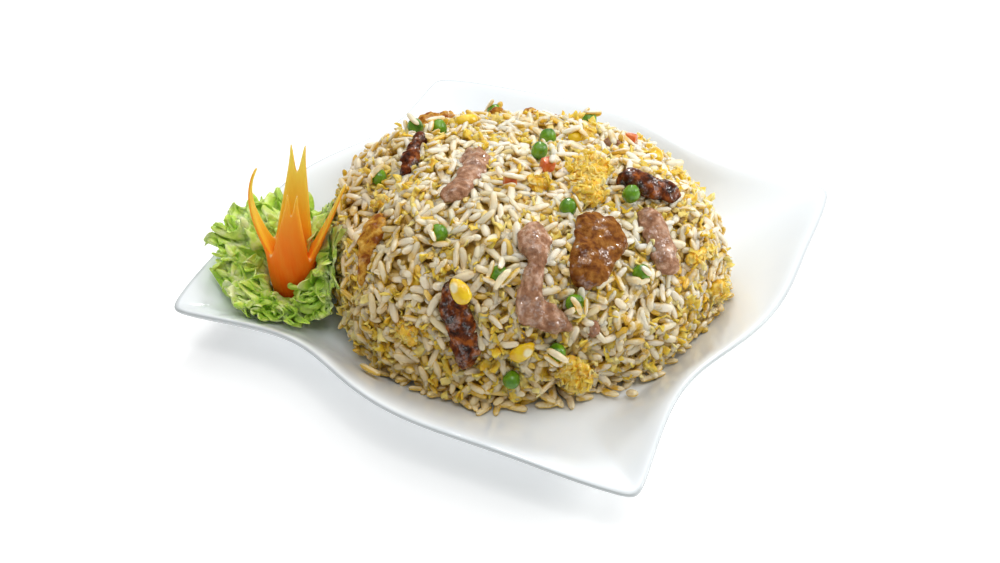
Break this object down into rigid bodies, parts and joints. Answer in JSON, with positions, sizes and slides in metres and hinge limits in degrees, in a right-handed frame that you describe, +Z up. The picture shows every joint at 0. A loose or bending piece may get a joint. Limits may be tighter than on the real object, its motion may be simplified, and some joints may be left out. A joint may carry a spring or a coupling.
{
  "type": "plate of fried rice with meat",
  "caption": "Heap of fried rice with beef, pork, egg, peas, corn and carrot on a wavy square plate, with a lettuce leaf and a carved carrot flower.",
  "frame": {"origin": "middle of the plate's foot ring, at the height of the surface it stands on", "axes": "+Z up; the plate's tips lie on the X and Y axes, the garnish at the tip on -X, and the heap's front faces -Y"},
  "size_m": [0.26, 0.26, 0.0773],
  "materials": {
    "beef": "browned beef in sauce",
    "browned_strip": "golden fried meat strip",
    "carrot_dice": "diced cooked carrot",
    "carrot_flower": "raw carved carrot",
    "corn": "cooked sweetcorn kernel",
    "egg": "scrambled egg",
    "lettuce": "fresh frilly lettuce leaf",
    "pea": "cooked garden pea",
    "plate": "glazed white porcelain",
    "pork": "cooked pork with a thin glaze",
    "rice": "cooked rice, lightly oiled"
  },
  "bodies": {
    "root": {"beef_front": "beef", "beef_left": "beef", "beef_rear": "beef", "beef_right": "beef", "beef_slice": "beef", "carrot_dice_1": "carrot_dice", "carrot_dice_2": "carrot_dice", "carrot_dice_3": "carrot_dice", "carrot_flower": "carrot_flower", "corn_1": "corn", "corn_2": "corn", "corn_3": "corn", "corn_4": "corn", "corn_5": "corn", "corn_6": "corn", "egg_back": "egg", "egg_back_right": "egg", "egg_foot": "egg", "egg_left": "egg", "egg_low_left": "egg", "egg_middle": "egg", "egg_rear": "egg", "egg_right": "egg", "egg_spill": "egg", "egg_top": "egg", "lettuce": "lettuce", "pea_1": "pea", "pea_10": "pea", "pea_11": "pea", "pea_12": "pea", "pea_13": "pea", "pea_14": "pea", "pea_15": "pea", "pea_16": "pea", "pea_2": "pea", "pea_3": "pea", "pea_4": "pea", "pea_5": "pea", "pea_6": "pea", "pea_7": "pea", "pea_8": "pea", "pea_9": "pea", "plate": "plate", "pork_back": "pork", "pork_left": "pork", "pork_long": "pork", "pork_rear": "pork", "pork_right": "pork", "pork_tip": "pork", "rice": "rice", "strip_back": "browned_strip", "strip_back_left": "browned_strip", "strip_back_right": "browned_strip", "strip_left": "browned_strip"}
  },
  "joints": []
}
